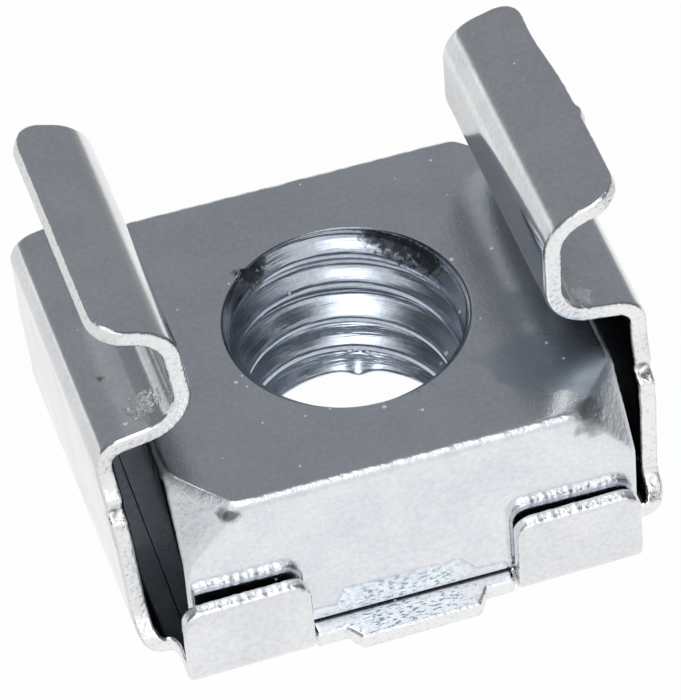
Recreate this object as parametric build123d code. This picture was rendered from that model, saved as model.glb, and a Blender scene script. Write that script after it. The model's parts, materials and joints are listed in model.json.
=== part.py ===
from build123d import *
from math import cos, hypot, radians, sin, tan
import os

# Rack cage nut: a loose threaded block held in a cage folded from one strip of spring steel.
# Frame: origin at the middle of the base plate's underside, +Z up,
# X across the two spring lugs, Y along them. Millimetres.

# Sheet and rack
sheet = 0.45
rack_hole = 9.5
neck_clearance = 0.03

# Nut block
nut_bearing = 0.75
nut_depth = 9.9
nut_thickness = 4.6
nut_edge_radius = 0.16
nut_base_edge_radius = 0.06
nut_upright_radius = 0.4
corner_cut = 1.02
corner_cone_angle = 60.0
thread_minor_radius = 2.5
thread_height = 0.5
countersink_width = 0.55
lower_sink_width = 0.12
countersink_angle = 45.0

# Play of the nut in the cage, and where it lies in that play
side_play = 0.6
end_play = 0.85
lift_play = 0.55
side_gap = 0.11
front_gap = 0.01
nut_turn = 1.0

# Base and side walls
base_hole_clearance = 0.15
base_bend_radius = 0.2
wall_lean = 2.0
foot_setback = 0.9
foot_height = 0.5
flare_height = 0.6
flare_radius = 0.5
taper_level = 3.2
taper_height = 1.9
taper_inset = 0.6
taper_radius = 1.5
corner_relief_radius = 0.3

# Spring lugs
lug_end_clearance = 1.1
shoulder_bend_radius = 0.3
flange_drop = 10.0
groove_gap = 2.875
lug_bend_radius = 0.85
lip_reach = 1.75
lip_rise = 18.0
lip_corner_radius = 0.8

# Tabs and tongues at the two open ends
tab_height = 2.33
tab_width = 3.08
tab_wall_gap = 0.5
tab_bend_radius = 0.1
tab_corner_radius = 0.45
notch_width = 0.77
notch_ledge = 0.2
tongue_reach = 0.42
tongue_taper = 0.3

# Places and levels worked out from the sizes above
mid_sheet = sheet / 2
nut_width = rack_hole + 2 * nut_bearing
corner_cone_radius = hypot(nut_width, nut_depth) / 2 - corner_cut
base_hole_radius = thread_minor_radius + thread_height + end_play + base_hole_clearance
wall_inner = nut_width / 2 + side_play
wall_shift = tan(radians(wall_lean))
tab_inner = nut_depth / 2 + end_play
tab_outer = tab_inner + sheet
tab_outer_edge = wall_inner - tab_wall_gap
tab_inner_edge = tab_outer_edge - tab_width
notch_root = tab_outer - notch_ledge
tongue_tip = notch_root + tongue_reach
tongue_root_half_width = tab_inner_edge - notch_width
tongue_tip_half_width = tongue_root_half_width - tongue_taper
foot_half_width = tab_inner - foot_setback
lug_half_length = rack_hole / 2 - lug_end_clearance
strap_half_width = lug_half_length + taper_inset
flange_underside = sheet + nut_thickness + lift_play
flange_slope = tan(radians(flange_drop))
lip_slope = tan(radians(lip_rise))
neck_outer = rack_hole / 2 - neck_clearance
neck_mid = neck_outer - mid_sheet
same_place = sheet / 100
standing = (Align.CENTER, Align.CENTER, Align.MIN)


def mirrored(points):
    """The points followed by their mirror images across the vertical axis, in reverse order."""
    return points + [(-across, up) for across, up in reversed(points)]


def folded_strip(plane, points, radii, half_width):
    """A strip of the sheet whose middle line follows the points, bent at each corner."""
    with BuildPart() as strip:
        with BuildSketch(plane):
            with BuildLine():
                FilletPolyline(*points, radius=radii)
            trace(line_width=sheet)
        extrude(amount=half_width, both=True)
    return strip.part


def strap_points():
    """Right half of the strap's middle line in the XZ plane, from the lip down to the base."""
    flange_half = mid_sheet / cos(radians(flange_drop))
    lip_half = mid_sheet / cos(radians(lip_rise))
    shoulder_z = flange_underside + flange_half
    shoulder_x = wall_inner + mid_sheet + wall_shift * shoulder_z
    neck_low = shoulder_z + flange_slope * (shoulder_x - neck_mid)
    groove_x = neck_outer + lug_bend_radius
    groove_floor = shoulder_z + flange_slope * (shoulder_x - groove_x) + flange_half
    neck_high = groove_floor + groove_gap + lip_half - lip_slope * (groove_x - neck_mid)
    return [
        (neck_mid + lip_reach, neck_high + lip_slope * lip_reach),
        (neck_mid, neck_high),
        (neck_mid, neck_low),
        (shoulder_x, shoulder_z),
        (wall_inner + mid_sheet, mid_sheet),
    ]


def wall_outline(top):
    """Side view of the strap in the YZ plane: flared at the foot, tapered in to the lugs."""
    points = [
        (foot_half_width, -sheet),
        (foot_half_width, foot_height),
        (strap_half_width, foot_height + flare_height),
        (strap_half_width, taper_level),
        (lug_half_length, taper_level + taper_height),
        (lug_half_length, top + sheet),
    ]
    radii = [0, flare_radius, flare_radius, taper_radius, taper_radius, 0]
    with BuildPart() as outline:
        with BuildSketch(Plane.YZ):
            with BuildLine():
                FilletPolyline(*mirrored(points), radius=radii + radii[::-1], close=True)
            make_face()
        extrude(amount=nut_width, both=True)
    return outline.part


def make_strap():
    """Base, walls and lugs, with the lips' free corners rounded."""
    points = strap_points()
    lip_end_z = points[0][1]
    neck_high = points[1][1]
    lug_bend = lug_bend_radius + mid_sheet
    shoulder_bend = shoulder_bend_radius + mid_sheet
    base_bend = base_bend_radius + mid_sheet
    half_radii = [lug_bend, lug_bend, shoulder_bend, base_bend]
    strip = folded_strip(Plane.XZ, mirrored(points), half_radii + half_radii[::-1], foot_half_width)
    strip = strip & wall_outline(lip_end_z)
    thickness_edges = strip.edges().filter_by(lambda edge: abs(edge.length - sheet) < same_place)
    lip_corners = thickness_edges.filter_by(lambda edge: edge.center().Z > neck_high)
    return fillet(lip_corners, radius=lip_corner_radius)


def make_end_tabs():
    """Four upright tabs, one near each corner, bent up from the base in pairs."""
    tab_mid = tab_inner + mid_sheet
    bend = tab_bend_radius + mid_sheet
    points = mirrored([(tab_mid, tab_height), (tab_mid, mid_sheet)])
    pair = folded_strip(Plane.YZ, points, [bend, bend], tab_width / 2)
    top_edges = pair.edges().filter_by(Axis.Y).group_by(Axis.Z)[-1]
    pair = fillet(top_edges, radius=tab_corner_radius)
    middle = tab_inner_edge + tab_width / 2
    return Pos(middle, 0, 0) * pair + Pos(-middle, 0, 0) * pair


def make_tongues():
    """Middle of the base plate, with a tongue at each open end between the tabs."""
    outline = mirrored([
        (tongue_tip_half_width, -tongue_tip),
        (tongue_root_half_width, -notch_root),
        (tab_inner_edge, -notch_root),
        (tab_inner_edge, notch_root),
        (tongue_root_half_width, notch_root),
        (tongue_tip_half_width, tongue_tip),
    ])
    with BuildPart() as plate:
        with BuildSketch():
            with BuildLine():
                Polyline(*outline, close=True)
            make_face()
        extrude(amount=sheet)
    return plate.part


def at_base_corner(edge):
    """True for an edge where a tab's side meets the foot of a wall."""
    beside_tab = abs(abs(edge.center().X) - tab_outer_edge) < same_place
    beside_foot = abs(abs(edge.center().Y) - foot_half_width) < same_place
    return beside_tab and beside_foot


def make_cage():
    """The folded cage, one piece of sheet, with a clearance hole for the screw's end."""
    cage = make_strap() + make_end_tabs() + make_tongues()
    cage -= extrude(Circle(base_hole_radius), amount=sheet)
    inside_corners = cage.edges().filter_by(Axis.Z).filter_by(at_base_corner)
    return fillet(inside_corners, radius=corner_relief_radius)


def make_corner_cone():
    """A solid of revolution whose upper cone takes off the block's four upper corners."""
    reach = nut_width + nut_depth
    drop = (reach - corner_cone_radius) * tan(radians(corner_cone_angle))
    with BuildPart() as turned:
        with BuildSketch(Plane.XZ):
            with BuildLine():
                Polyline(
                    (0, -drop),
                    (reach, -drop),
                    (reach, nut_thickness - drop),
                    (corner_cone_radius, nut_thickness),
                    (0, nut_thickness),
                    close=True,
                )
            make_face()
        revolve(axis=Axis.Z)
    return turned.part


def countersink(width):
    """A cone that widens one mouth of the bore by the given width, standing on its wide end."""
    depth = width / tan(radians(countersink_angle))
    return Cone(thread_minor_radius + width, thread_minor_radius, depth, align=standing)


def make_nut():
    """The threaded block: rounded edges, upper corners turned to a cone, countersunk bore."""
    block = Box(nut_width, nut_depth, nut_thickness, align=standing)
    block = fillet(block.edges().filter_by(Axis.Z), radius=nut_upright_radius)
    block = block & make_corner_cone()
    block = fillet(block.faces().sort_by(Axis.Z)[-1].edges(), radius=nut_edge_radius)
    block = fillet(block.faces().sort_by(Axis.Z)[0].edges(), radius=nut_base_edge_radius)
    bore = Cylinder(thread_minor_radius, nut_thickness, align=standing)
    upper_sink = Pos(0, 0, nut_thickness) * Rot(180, 0, 0) * countersink(countersink_width)
    return block - bore - upper_sink - countersink(lower_sink_width)


def place_nut(nut):
    """Lays the nut on the base, turned a little, up to the bends of the right wall and front tabs."""
    turn = radians(nut_turn)
    reach_x = nut_width / 2 * cos(turn) + nut_depth / 2 * sin(turn)
    reach_y = nut_depth / 2 * cos(turn) + nut_width / 2 * sin(turn)
    side_bend_room = base_bend_radius - nut_base_edge_radius
    front_bend_room = tab_bend_radius - nut_base_edge_radius
    shift_x = wall_inner - side_bend_room - side_gap - reach_x
    shift_y = reach_y + front_gap + front_bend_room - tab_inner
    return Pos(shift_x, shift_y, sheet) * Rot(0, 0, -nut_turn) * nut


os.makedirs("parts", exist_ok=True)
export_step(make_cage(), "parts/cage.step")
export_step(place_nut(make_nut()), "parts/nut.step")
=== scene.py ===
import json
import math

import bmesh
import bpy
import numpy as np
from bpy.props import FloatProperty, FloatVectorProperty, IntProperty, PointerProperty
from mathutils import Matrix, Vector, kdtree, noise
from mathutils.geometry import delaunay_2d_cdt


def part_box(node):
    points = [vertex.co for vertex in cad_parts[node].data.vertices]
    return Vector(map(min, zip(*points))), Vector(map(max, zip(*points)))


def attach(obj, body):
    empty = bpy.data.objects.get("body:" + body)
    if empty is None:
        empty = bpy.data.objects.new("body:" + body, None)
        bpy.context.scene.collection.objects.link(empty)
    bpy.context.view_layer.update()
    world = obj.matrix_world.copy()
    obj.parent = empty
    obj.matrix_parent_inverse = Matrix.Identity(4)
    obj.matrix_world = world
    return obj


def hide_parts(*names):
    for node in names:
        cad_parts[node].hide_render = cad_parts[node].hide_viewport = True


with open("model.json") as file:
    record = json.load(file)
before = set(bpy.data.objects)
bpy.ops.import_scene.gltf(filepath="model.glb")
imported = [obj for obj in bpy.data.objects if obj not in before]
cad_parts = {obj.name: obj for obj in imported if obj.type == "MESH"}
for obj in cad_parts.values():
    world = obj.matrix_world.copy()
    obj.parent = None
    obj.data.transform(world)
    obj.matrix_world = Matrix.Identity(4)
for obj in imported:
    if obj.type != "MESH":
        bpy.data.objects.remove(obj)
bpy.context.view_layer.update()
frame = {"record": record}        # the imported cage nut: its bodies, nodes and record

bl_info = {
    "name": "Rack Cage Nut",
    "version": (1, 0, 0),
    "blender": (4, 5, 0),
    "location": "3D View > Sidebar > Cage Nut",
    "description": "Folds the spring cage, taps the nut and sets a studio round them",
    "category": "Add Mesh",
}

MM = 0.001
TINY = 1e-9
WHITE = (1.0, 1.0, 1.0, 1.0)
NUT_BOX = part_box("nut")
NUT_AXIS = Vector(next(m["pos_m"] for m in frame["record"]["mounts"] if m["name"] == "thread"))


# Settings

def length(name, millimetres, description):
    """A length setting, given in millimetres and kept in metres."""
    return FloatProperty(
        name=name, description=description, default=millimetres * MM, unit="LENGTH", precision=5)


def angle(name, degrees, description):
    """An angle setting, given in degrees."""
    return FloatProperty(
        name=name, description=description, default=math.radians(degrees), subtype="ANGLE")


def share(name, default, description):
    """A plain number from nought upwards."""
    return FloatProperty(name=name, description=description, default=default, min=0.0, precision=3)


def count(name, default, description):
    """A whole number of rows, steps or turns."""
    return IntProperty(name=name, description=description, default=default, min=1)


def colour(name, default, description):
    """A colour setting."""
    return FloatVectorProperty(
        name=name, description=description, default=default, size=3, min=0.0, max=1.0, subtype="COLOR")


class CageSizes(bpy.types.PropertyGroup):
    """The sheet, its folds and its outline"""
    sheet: length("Sheet", 0.45, "Thickness of the spring steel")
    base_hole_radius: length("Base Hole Radius", 4.0, "Clearance hole for the screw's end")
    base_bend: length("Base Bend", 0.2, "Inner radius where a wall leaves the base")
    wall_inner: length("Wall Inner", 6.1, "Inner face of a wall from the middle, at the base")
    wall_lean: angle("Wall Lean", 2.0, "Outward lean of the walls")
    foot_half_width: length("Foot Half Width", 4.9, "Half width of a wall at its foot")
    foot_height: length("Foot Height", 0.35, "Where the foot starts to narrow")
    flare_height: length("Flare Height", 0.6, "Height over which the foot narrows")
    flare_radius: length("Flare Radius", 0.5, "Rounding of the foot's narrowing")
    strap_half_width: length("Strap Half Width", 4.25, "Half width of a wall above its foot")
    taper_level: length("Taper Level", 3.2, "Where a wall starts to taper in to its lug")
    taper_height: length("Taper Height", 1.9, "Height over which it tapers")
    taper_radius: length("Taper Radius", 1.5, "Rounding at both ends of the taper")
    racking: length("Racking", 0.15, "How far the feet of the walls are sprung to one side")
    left_bend_shift: length("Left Bend Shift", 0.2, "How far the left lug's upper bend is sprung outwards")
    left_lip_shift: length("Left Lip Shift", 0.14, "How far the end of the left lip is sprung outwards")
    tab_lean: length("Tab Lean", 0.1, "How far the left front tab leans in at its top")
    relief_radius: length("Relief Radius", 0.3, "Rounding between a tab and the foot of a wall")
    lug_half_length: length("Lug Half Length", 3.65, "Half length of a spring lug")
    shoulder_bend: length("Shoulder Bend", 0.3, "Inner radius at the top of a wall")
    flange_underside: length("Flange Underside", 5.6, "Height of the flange's lower face at the wall")
    flange_drop: angle("Flange Drop", 10.0, "Slope of the flange down to the wall")
    neck_outer: length("Neck Outer", 4.72, "Groove side of a lug's neck from the middle")
    groove_gap: length("Groove Gap", 2.875, "Opening of the groove that takes the rack's edge")
    lug_bend: length("Lug Bend", 0.85, "Inner radius of the groove's two bends")
    lip_reach: length("Lip Reach", 1.75, "How far a lip reaches out over its groove")
    lip_rise: angle("Lip Rise", 18.0, "Upward slope of a lip")
    lip_corner: length("Lip Corner", 0.8, "Rounding of a lip's free corners")
    tab_inner: length("Tab Inner", 5.8, "Inner face of a tab from the middle")
    tab_height: length("Tab Height", 2.38, "Height of a tab above the floor")
    tab_width: length("Tab Width", 3.08, "Width of a tab")
    tab_outer_edge: length("Tab Outer Edge", 5.6, "Outer edge of a tab from the middle")
    tab_bend: length("Tab Bend", 0.1, "Inner radius where a tab leaves the base")
    tab_corner: length("Tab Corner", 0.45, "Rounding of a tab's upper corners")
    tab_slit: length("Tab Slit", 0.05, "Cut that frees a tab's bend from the ledge beside it")
    notch_width: length("Notch Width", 0.77, "Gap between a tab and the tongue's root")
    notch_ledge: length("Notch Ledge", 0.2, "How far the notch lies behind the tab's outer face")
    tongue_reach: length("Tongue Reach", 0.42, "How far the tongue stands out from the notch")
    tongue_taper: length("Tongue Taper", 0.3, "How much narrower the tongue's tip is, each side")
    edge_rounding: length("Edge Rounding", 0.09, "Rounding along every sheared edge")
    tab_rounding: length("Tab Rounding", 0.16, "Rounding along the tops of the tabs")
    small_corner: length("Small Corner", 0.1, "Rounding of the blank's sharp corners")
    tight_corner: length("Tight Corner", 0.02, "Rounding inside the blank's slits and notches")
    edge_step: length("Edge Step", 0.05, "Spacing of points along the edges")
    face_step: length("Face Step", 0.26, "Spacing of points across the faces")
    bend_step: angle("Bend Step", 5.0, "Turn between points round a bend")
    raggedness: length("Raggedness", 0.012, "How far a sheared edge wanders")
    tab_raggedness: length("Tab Raggedness", 0.026, "How far the torn tops of the tabs wander")


class NutSizes(bpy.types.PropertyGroup):
    """The threaded block"""
    width: length("Width", 11.0, "Side of the block that spans the rack's hole")
    depth: length("Depth", 9.9, "Side of the block along the lugs")
    edge_radius: length("Edge Radius", 0.25, "Rounding of the upper edges")
    base_edge_radius: length("Base Edge Radius", 0.09, "Rounding of the lower edges")
    upright_radius: length("Upright Radius", 0.16, "Rounding of the upright corners")
    cone_rounding: share("Cone Rounding", 0.3, "Share of the upper rounding that the turned corners have")
    cone_radius: length("Cone Radius", 6.38, "Where the turned corners begin")
    cone_angle: angle("Cone Angle", 60.0, "Slope of the turned corners")
    cone_blend: length("Cone Blend", 0.16, "Softness of the turned corners' edge")
    turn: angle("Turn", -1.0, "How the block lies turned in the cage")
    rounds: count("Rounds", 432, "Points round the block and its bore")
    wander: length("Wander", 0.018, "Unevenness of the upper edges")


class ThreadSizes(bpy.types.PropertyGroup):
    """The tapped hole"""
    pitch: length("Pitch", 1.0, "Rise of the thread in one turn")
    minor_radius: length("Minor Radius", 2.5, "Bore at the thread's crests")
    height: length("Height", 0.5, "Depth of the thread from crest to root")
    crest_flat: length("Crest Flat", 0.08, "Width of the crests")
    mouth_radius: length("Mouth Radius", 2.93, "Upper countersink below its rounded rim")
    rim_radius: length("Rim Radius", 0.1, "Rounding from the upper countersink to the top face")
    lower_radius: length("Lower Radius", 2.62, "Lower countersink at the bottom face")
    bell: length("Bell", 0.2, "How much wider the crests are cut near the top")
    bell_low: length("Bell Low", 1.9, "Height where the crests start to widen")
    bell_high: length("Bell High", 2.9, "Height where they are fully widened")
    start: length("Start", -1.785, "Height at which the helix begins")
    turns: count("Turns", 7, "Turns of the helix before it is cut to the block")
    rows: count("Rows", 24, "Points across one pitch")
    swelling: length("Swelling", 0.17, "How far the tap pushed the lowest crest inwards at one place")
    swelling_height: length("Swelling Height", 0.5, "Height over which the swelling fades")
    swelling_turn: angle("Swelling Turn", 72.0, "Where the swelling lies round the bore")
    swelling_spread: angle("Swelling Spread", 6.5, "How wide the swelling is")


class Finishes(bpy.types.PropertyGroup):
    """Colours and gloss of the plating, and colours of painted shade on it"""
    cage_zinc: colour("Cage Zinc", (0.87, 0.875, 0.885), "Bright zinc on the cage")
    cage_dull: colour("Cage Dull", (0.70, 0.715, 0.74), "Duller grain on the cage")
    nut_zinc: colour("Nut Zinc", (0.84, 0.86, 0.885), "Bright zinc on the nut")
    nut_dull: colour("Nut Dull", (0.68, 0.705, 0.75), "Duller grain on the nut")
    thread_zinc: colour("Thread Zinc", (0.56, 0.605, 0.67), "Thinner zinc in the thread")
    thread_dull: colour("Thread Dull", (0.42, 0.465, 0.535), "Duller grain in the thread")
    sheared: colour("Sheared", (0.90, 0.905, 0.91), "Sheared edges of the sheet")
    pitted: colour("Pitted", (0.42, 0.44, 0.46), "Pits along the sheared edges")
    # Painted shade: darkens faces hidden between nut and cage and inside the lugs' grooves
    recess_shade: colour("Recess", (0.33, 0.35, 0.375), "Thin plating where nut and cage hide each other")
    # Near-black painted shade at the wall nicks, the nut's foot, its bore rim and the thread's run-out, and
    # painted dark reflections at the nut's front corners
    painted_dark: colour("Painted Dark", (0.04, 0.045, 0.055), "Dark marks at nicks and thread ends")
    streak: colour("Streak", (0.14, 0.25, 0.33), "Dark streaks rubbed along the front tongue")
    scuff: colour("Scuff", (0.93, 0.955, 0.97), "Light scuffs in the grooves")
    # Painted shade on the nut's top beside the right lug
    lug_shade: colour("Lug Shade", (0.28, 0.37, 0.46), "Dim bluish patch on the nut's top")
    dust: colour("Dust", (0.92, 0.93, 0.94), "Small pale specks")
    rust: colour("Rust", (0.20, 0.12, 0.07), "Small stain in the left groove")
    cage_gloss: share("Cage Roughness", 0.15, "Roughness of the cage")
    nut_gloss: share("Nut Roughness", 0.09, "Roughness of the nut's sides")
    top_gloss: share("Top Roughness", 0.2, "Roughness of the nut's rolled top")
    thread_gloss: share("Thread Roughness", 0.17, "Roughness of the thread")
    edge_gloss: share("Edge Roughness", 0.3, "Roughness of the sheared edges")
    worn_gloss: share("Worn Roughness", 0.38, "Roughness of the nut's worn upper edges")


class Studio(bpy.types.PropertyGroup):
    """Floor, light and camera"""
    azimuth: angle("Azimuth", -14.402, "Camera's turn about the part")
    elevation: angle("Elevation", 46.065, "Camera's height above the horizon")
    roll: angle("Roll", -4.872, "Camera's roll")
    distance: length("Distance", 138.238, "Camera's distance")
    lens: FloatProperty(name="Lens", description="Focal length in millimetres", default=297.67)
    target: FloatVectorProperty(
        name="Target", description="Point the camera looks at", size=3, subtype="TRANSLATION",
        default=(-0.1 * MM, 0.0, 3.0 * MM))
    slide: FloatVectorProperty(
        name="Slide", description="Camera's slide across and up its own view", size=2,
        subtype="TRANSLATION", default=(0.31 * MM, 0.241 * MM))
    floor_size: length("Floor Size", 2000.0, "Side of the floor")
    floor_gap: length("Floor Gap", 0.02, "Floor below the part's underside")
    floor: colour("Floor", (0.97, 0.97, 0.97), "Pale floor")
    floor_glow: share("Floor Glow", 0.97, "How much of the floor is plain white in the picture")
    floor_left: share("Floor Left", 0.82, "Brightness of the floor to the left, as the metal shows it")
    floor_right: share("Floor Right", 0.32, "Brightness of the floor far to the right, as the metal shows it")
    back_wall: colour("Back Wall", (0.265, 0.275, 0.295), "Grey wall behind the part")
    side_wall: colour("Side Wall", (0.09, 0.095, 0.105), "Dark walls beside it")
    front_fill: share("Front Fill", 0.95, "Brightness of the broad light in front")
    lamp: share("Lamp", 2.7, "Brightness of the long narrow light overhead")


class CageNutSettings(bpy.types.PropertyGroup):
    """All settings of the cage nut"""
    cage: PointerProperty(type=CageSizes)
    nut: PointerProperty(type=NutSizes)
    thread: PointerProperty(type=ThreadSizes)
    finish: PointerProperty(type=Finishes)
    studio: PointerProperty(type=Studio)


# Lines made of straight runs and bends

class BentLine:
    """A line of straight runs joined by tangent arcs, read by the length along it."""

    def __init__(self, corners, radii):
        corners = np.array(corners, float)
        steps = np.diff(corners, axis=0)
        headings = np.unwrap(np.arctan2(steps[:, 1], steps[:, 0]))
        turns = np.diff(headings)
        radii = np.array(radii, float)
        cuts = radii * np.tan(np.abs(turns) / 2)
        runs = np.hypot(steps[:, 0], steps[:, 1])
        runs[1:] -= cuts
        runs[:-1] -= cuts
        if runs.min() < 0:
            raise ValueError("A bend is too wide for the runs beside it")
        arcs = radii * np.abs(turns)
        self.lengths = np.empty(2 * len(runs) - 1)
        self.lengths[0::2] = runs
        self.lengths[1::2] = arcs
        self.bends = np.zeros_like(self.lengths)
        self.bends[1::2] = turns / arcs
        self.starts = np.concatenate([[0.0], np.cumsum(self.lengths)[:-1]])
        self.length = self.lengths.sum()
        self.points = np.empty((len(self.lengths), 2))
        self.headings = np.empty(len(self.lengths))
        self.headings[0::2] = headings
        self.headings[1::2] = headings[:-1]
        self.points[0] = corners[0]
        for i in range(1, len(self.lengths)):
            self.points[i] = self.within(i - 1, self.lengths[i - 1])[0]

    def within(self, i, run):
        """Point and heading at a run along piece i."""
        turn = self.bends[i] * run
        chord = run * np.sinc(turn / (2 * np.pi))
        middle = self.headings[i] + turn / 2
        step = np.stack([np.cos(middle), np.sin(middle)], axis=-1) * np.expand_dims(chord, -1)
        return self.points[i] + step, self.headings[i] + turn

    def at(self, along):
        """Points and headings at the lengths along the line."""
        i = np.clip(np.searchsorted(self.starts, along, side="right") - 1, 0, len(self.starts) - 1)
        return self.within(i, along - self.starts[i])

    def stations(self, step, turn):
        """Lengths along the line, closer together round its bends."""
        rows = []
        for start, run, bend in zip(self.starts, self.lengths, self.bends):
            parts = max(1, math.ceil(max(run / step, abs(bend) * run / turn)))
            rows.append(start + run * np.arange(parts) / parts)
        return np.concatenate(rows + [[self.length]])


# Folded cage

# Pieces of the strap's middle line after the flat of the base, in order
BASE_BEND, WALL, SHOULDER, FLANGE, LOWER_BEND, NECK, UPPER_BEND, LIP = range(1, 9)

# Size, seed and share of the two wanders of a sheared edge
TEARS = ((0.12 * MM, 3.0, 1.0), (0.3 * MM, 7.0, 0.5))


class Blank:
    """The cage's flat blank: u along the strap, v along the lugs, n through the sheet."""

    def __init__(self, sizes):
        self.sizes = sizes
        half = sizes.sheet / 2
        self.strap = self.strap_line(half)
        tab_middle = sizes.tab_inner + half
        self.tab = BentLine(
            [(0, half), (tab_middle, half), (tab_middle, sizes.tab_height)], [sizes.tab_bend + half])
        self.tab_start = self.tab.starts[1]
        self.foot_run = self.strap.starts[BASE_BEND] - sizes.tab_outer_edge
        self.slit_edge = sizes.tab_outer_edge - sizes.tab_width - sizes.tab_slit
        corners, radii = self.outline()
        self.edge = BentLine(corners, radii)

    def strap_line(self, half):
        """Right half of the strap's middle line, from the base's middle out to the lip's end."""
        s = self.sizes
        slope = math.tan(s.flange_drop)
        flange_half = half / math.cos(s.flange_drop)
        lip_half = half / math.cos(s.lip_rise)
        shoulder_z = s.flange_underside + flange_half
        shoulder_x = s.wall_inner + half + math.tan(s.wall_lean) * shoulder_z
        neck = s.neck_outer - half
        groove_x = s.neck_outer + s.lug_bend
        groove_floor = shoulder_z + slope * (shoulder_x - groove_x) + flange_half
        neck_high = groove_floor + s.groove_gap + lip_half - math.tan(s.lip_rise) * (groove_x - neck)
        corners = [
            (0, half),
            (s.wall_inner + half, half),
            (shoulder_x, shoulder_z),
            (neck, shoulder_z + slope * (shoulder_x - neck)),
            (neck, neck_high),
            (neck + s.lip_reach, neck_high + math.tan(s.lip_rise) * s.lip_reach),
        ]
        return BentLine(corners, [s.base_bend + half, s.shoulder_bend + half] + [s.lug_bend + half] * 2)

    def wall_length(self, level):
        """Length along the strap at which its wall reaches a level."""
        rise = level - self.strap.points[WALL][1]
        return self.strap.starts[WALL] + rise / math.sin(self.strap.headings[WALL])

    def outline(self):
        """Corners of the blank and their roundings, once round from the front tongue's tip."""
        s = self.sizes
        tab_inner_edge = s.tab_outer_edge - s.tab_width
        notch_root = s.tab_inner + s.sheet - s.notch_ledge
        tongue_tip = notch_root + s.tongue_reach
        root_half = tab_inner_edge - s.notch_width
        quarter = [
            (root_half - s.tongue_taper, tongue_tip, s.small_corner),
            (root_half, notch_root, s.tight_corner),
            (self.slit_edge, notch_root, s.small_corner),
            (self.slit_edge, self.tab_start, s.tight_corner),
            (tab_inner_edge, self.tab_start, s.tight_corner),
            (tab_inner_edge, self.tab.length, s.tab_corner),
            (s.tab_outer_edge, self.tab.length, s.tab_corner),
            (s.tab_outer_edge, s.foot_half_width, s.relief_radius),
            (self.wall_length(s.foot_height), s.foot_half_width, s.flare_radius),
            (self.wall_length(s.foot_height + s.flare_height), s.strap_half_width, s.flare_radius),
            (self.wall_length(s.taper_level), s.strap_half_width, s.taper_radius),
            (self.wall_length(s.taper_level + s.taper_height), s.lug_half_length, s.taper_radius),
            (self.strap.length, s.lug_half_length, s.lip_corner),
        ]
        corners = [(0, -tongue_tip)]
        radii = []
        for side, end in ((1, -1), (1, 1), (-1, 1), (-1, -1)):
            ordered = quarter if side * end < 0 else quarter[::-1]
            corners += [(side * u, end * v) for u, v, radius in ordered]
            radii += [radius for u, v, radius in ordered]
        return corners + [(0, -tongue_tip)], radii

    def nicks(self, points):
        """Outward offset where the shear's strokes met or slipped along the outline."""
        wall = self.wall_length
        lip = self.strap.length
        even = 1.0
        drawn_out = 0.4
        # Place on the blank, size outwards, spread, and how far the spread is drawn out along the lug
        places = [
            (-wall(4.5 * MM), -3.85 * MM, 0.17 * MM, 0.2 * MM, drawn_out),
            (-wall(4.1 * MM), -4.0 * MM, -0.15 * MM, 0.14 * MM, drawn_out),
            (-wall(3.85 * MM), -4.1 * MM, 0.06 * MM, 0.1 * MM, drawn_out),
            (wall(4.05 * MM), -4.0 * MM, -0.15 * MM, 0.15 * MM, drawn_out),
            (wall(3.7 * MM), -4.1 * MM, 0.11 * MM, 0.17 * MM, drawn_out),
            (lip, -0.7 * MM, 0.07 * MM, 0.14 * MM, even),
            (lip, 2.2 * MM, -0.12 * MM, 1.3 * MM, even),
            (lip - 0.8 * MM, 3.65 * MM, -0.14 * MM, 0.9 * MM, drawn_out),
        ]
        offset = np.zeros(len(points))
        for u, v, size, spread, drawing in places:
            apart = np.hypot(points[:, 0] - u, drawing * (points[:, 1] - v))
            offset += size * np.exp(-((apart / spread) ** 2))
        return offset

    def hidden(self, u, v):
        """How far points of the upper face lie inside the cage, from 0 to 1."""
        starts = self.strap.starts
        bend = self.strap.lengths[UPPER_BEND]
        first = starts[UPPER_BEND]
        knots = (*starts[[SHOULDER, FLANGE, NECK]], *(first + part * bend for part in (0.0, 0.15, 0.3)))
        inside = np.interp(np.abs(u), knots, (1.0, 0.95, 0.85, 0.65, 0.15, 0.0))
        under_nut = np.clip((self.sizes.tab_inner - np.abs(v)) / self.sizes.sheet, 0, 1)
        return np.where(self.on_tab(u, v), 0.0, inside * under_nut)

    def grooved(self, u):
        """How far points of the lower face lie inside a lug's groove, from 0 to 1."""
        knots = (*self.strap.starts[FLANGE:], self.strap.length)
        return np.interp(np.abs(u), knots, (0.0, 0.15, 0.75, 0.75, 0.85, 0.7))

    def roundings(self, points):
        """Rounding of the sheared edge at points of the outline, wider along the tops of the tabs."""
        s = self.sizes
        up = np.clip(1 + (np.abs(points[:, 1]) - self.tab.length) / s.tab_corner, 0, 1)
        return s.edge_rounding + (s.tab_rounding - s.edge_rounding) * up * up * (3 - 2 * up)

    def on_tab(self, u, v):
        """True for points of the blank that lie on a tab, past the start of its bend."""
        return (np.abs(u) > self.slit_edge + self.sizes.tab_slit / 2) & (np.abs(v) > self.tab_start)

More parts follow.
